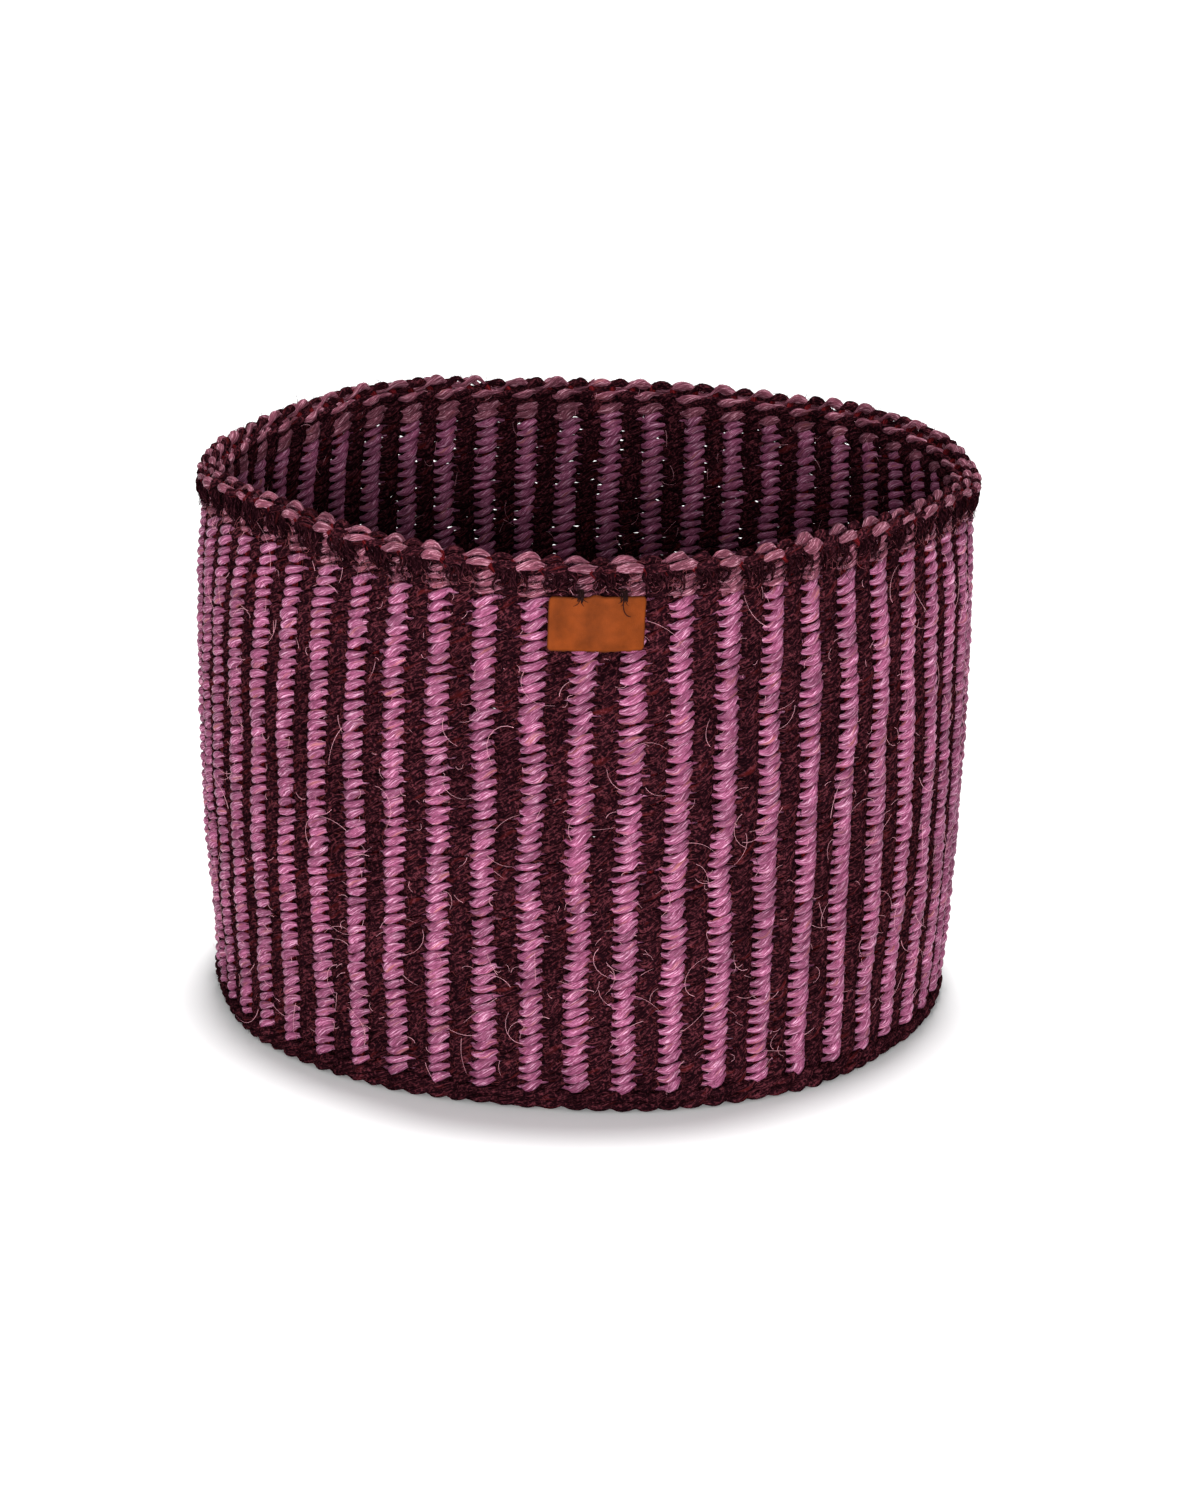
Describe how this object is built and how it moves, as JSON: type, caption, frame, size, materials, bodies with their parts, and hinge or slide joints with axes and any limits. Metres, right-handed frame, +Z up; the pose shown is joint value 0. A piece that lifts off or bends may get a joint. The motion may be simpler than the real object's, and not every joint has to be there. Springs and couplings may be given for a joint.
{
  "type": "kiondo basket",
  "caption": "Small round storage basket twined from dyed sisal, with upright two-tone stripes, a knotted rim and a small sewn leather label that lifts.",
  "frame": {"origin": "middle of the underside, on the surface that the basket stands on", "axes": "+Z up through the middle of the basket, -Y towards the leather label at the front, +X to the right as seen from the front"},
  "size_m": [0.2306, 0.2306, 0.16],
  "materials": {
    "sisal_pink": "dyed sisal cord, fibrous, soft silky sheen",
    "sisal_dark": "dyed sisal cord, very dark burgundy, fibrous, low sheen",
    "sisal_warp": "dyed sisal cord, dark red, fibrous",
    "tan_leather": "smooth tan leather, matt, fine grain",
    "thread": "dark sewing thread, matt"
  },
  "bodies": {
    "basket": {"warps": "sisal_warp", "base_weft_under": "sisal_dark", "base_weft_inside": "sisal_dark", "foot_row": "sisal_dark", "wall_weft_pink": "sisal_pink", "wall_weft_dark": "sisal_dark", "rim_row": "sisal_pink", "label_sewn_edge": "tan_leather", "label_stitch_left": "thread", "label_stitch_right": "thread"},
    "label": {"label_flap": "tan_leather"}
  },
  "joints": [
    {"name": "label_lift", "type": "hinge", "parent": "basket", "child": "label", "pos_m": [0.00355, -0.11443, 0.1464], "axis": [-0.9995, -0.031, 0], "range_deg": [0, 75], "stiffness_Nm_per_rad": 0.01}
  ]
}
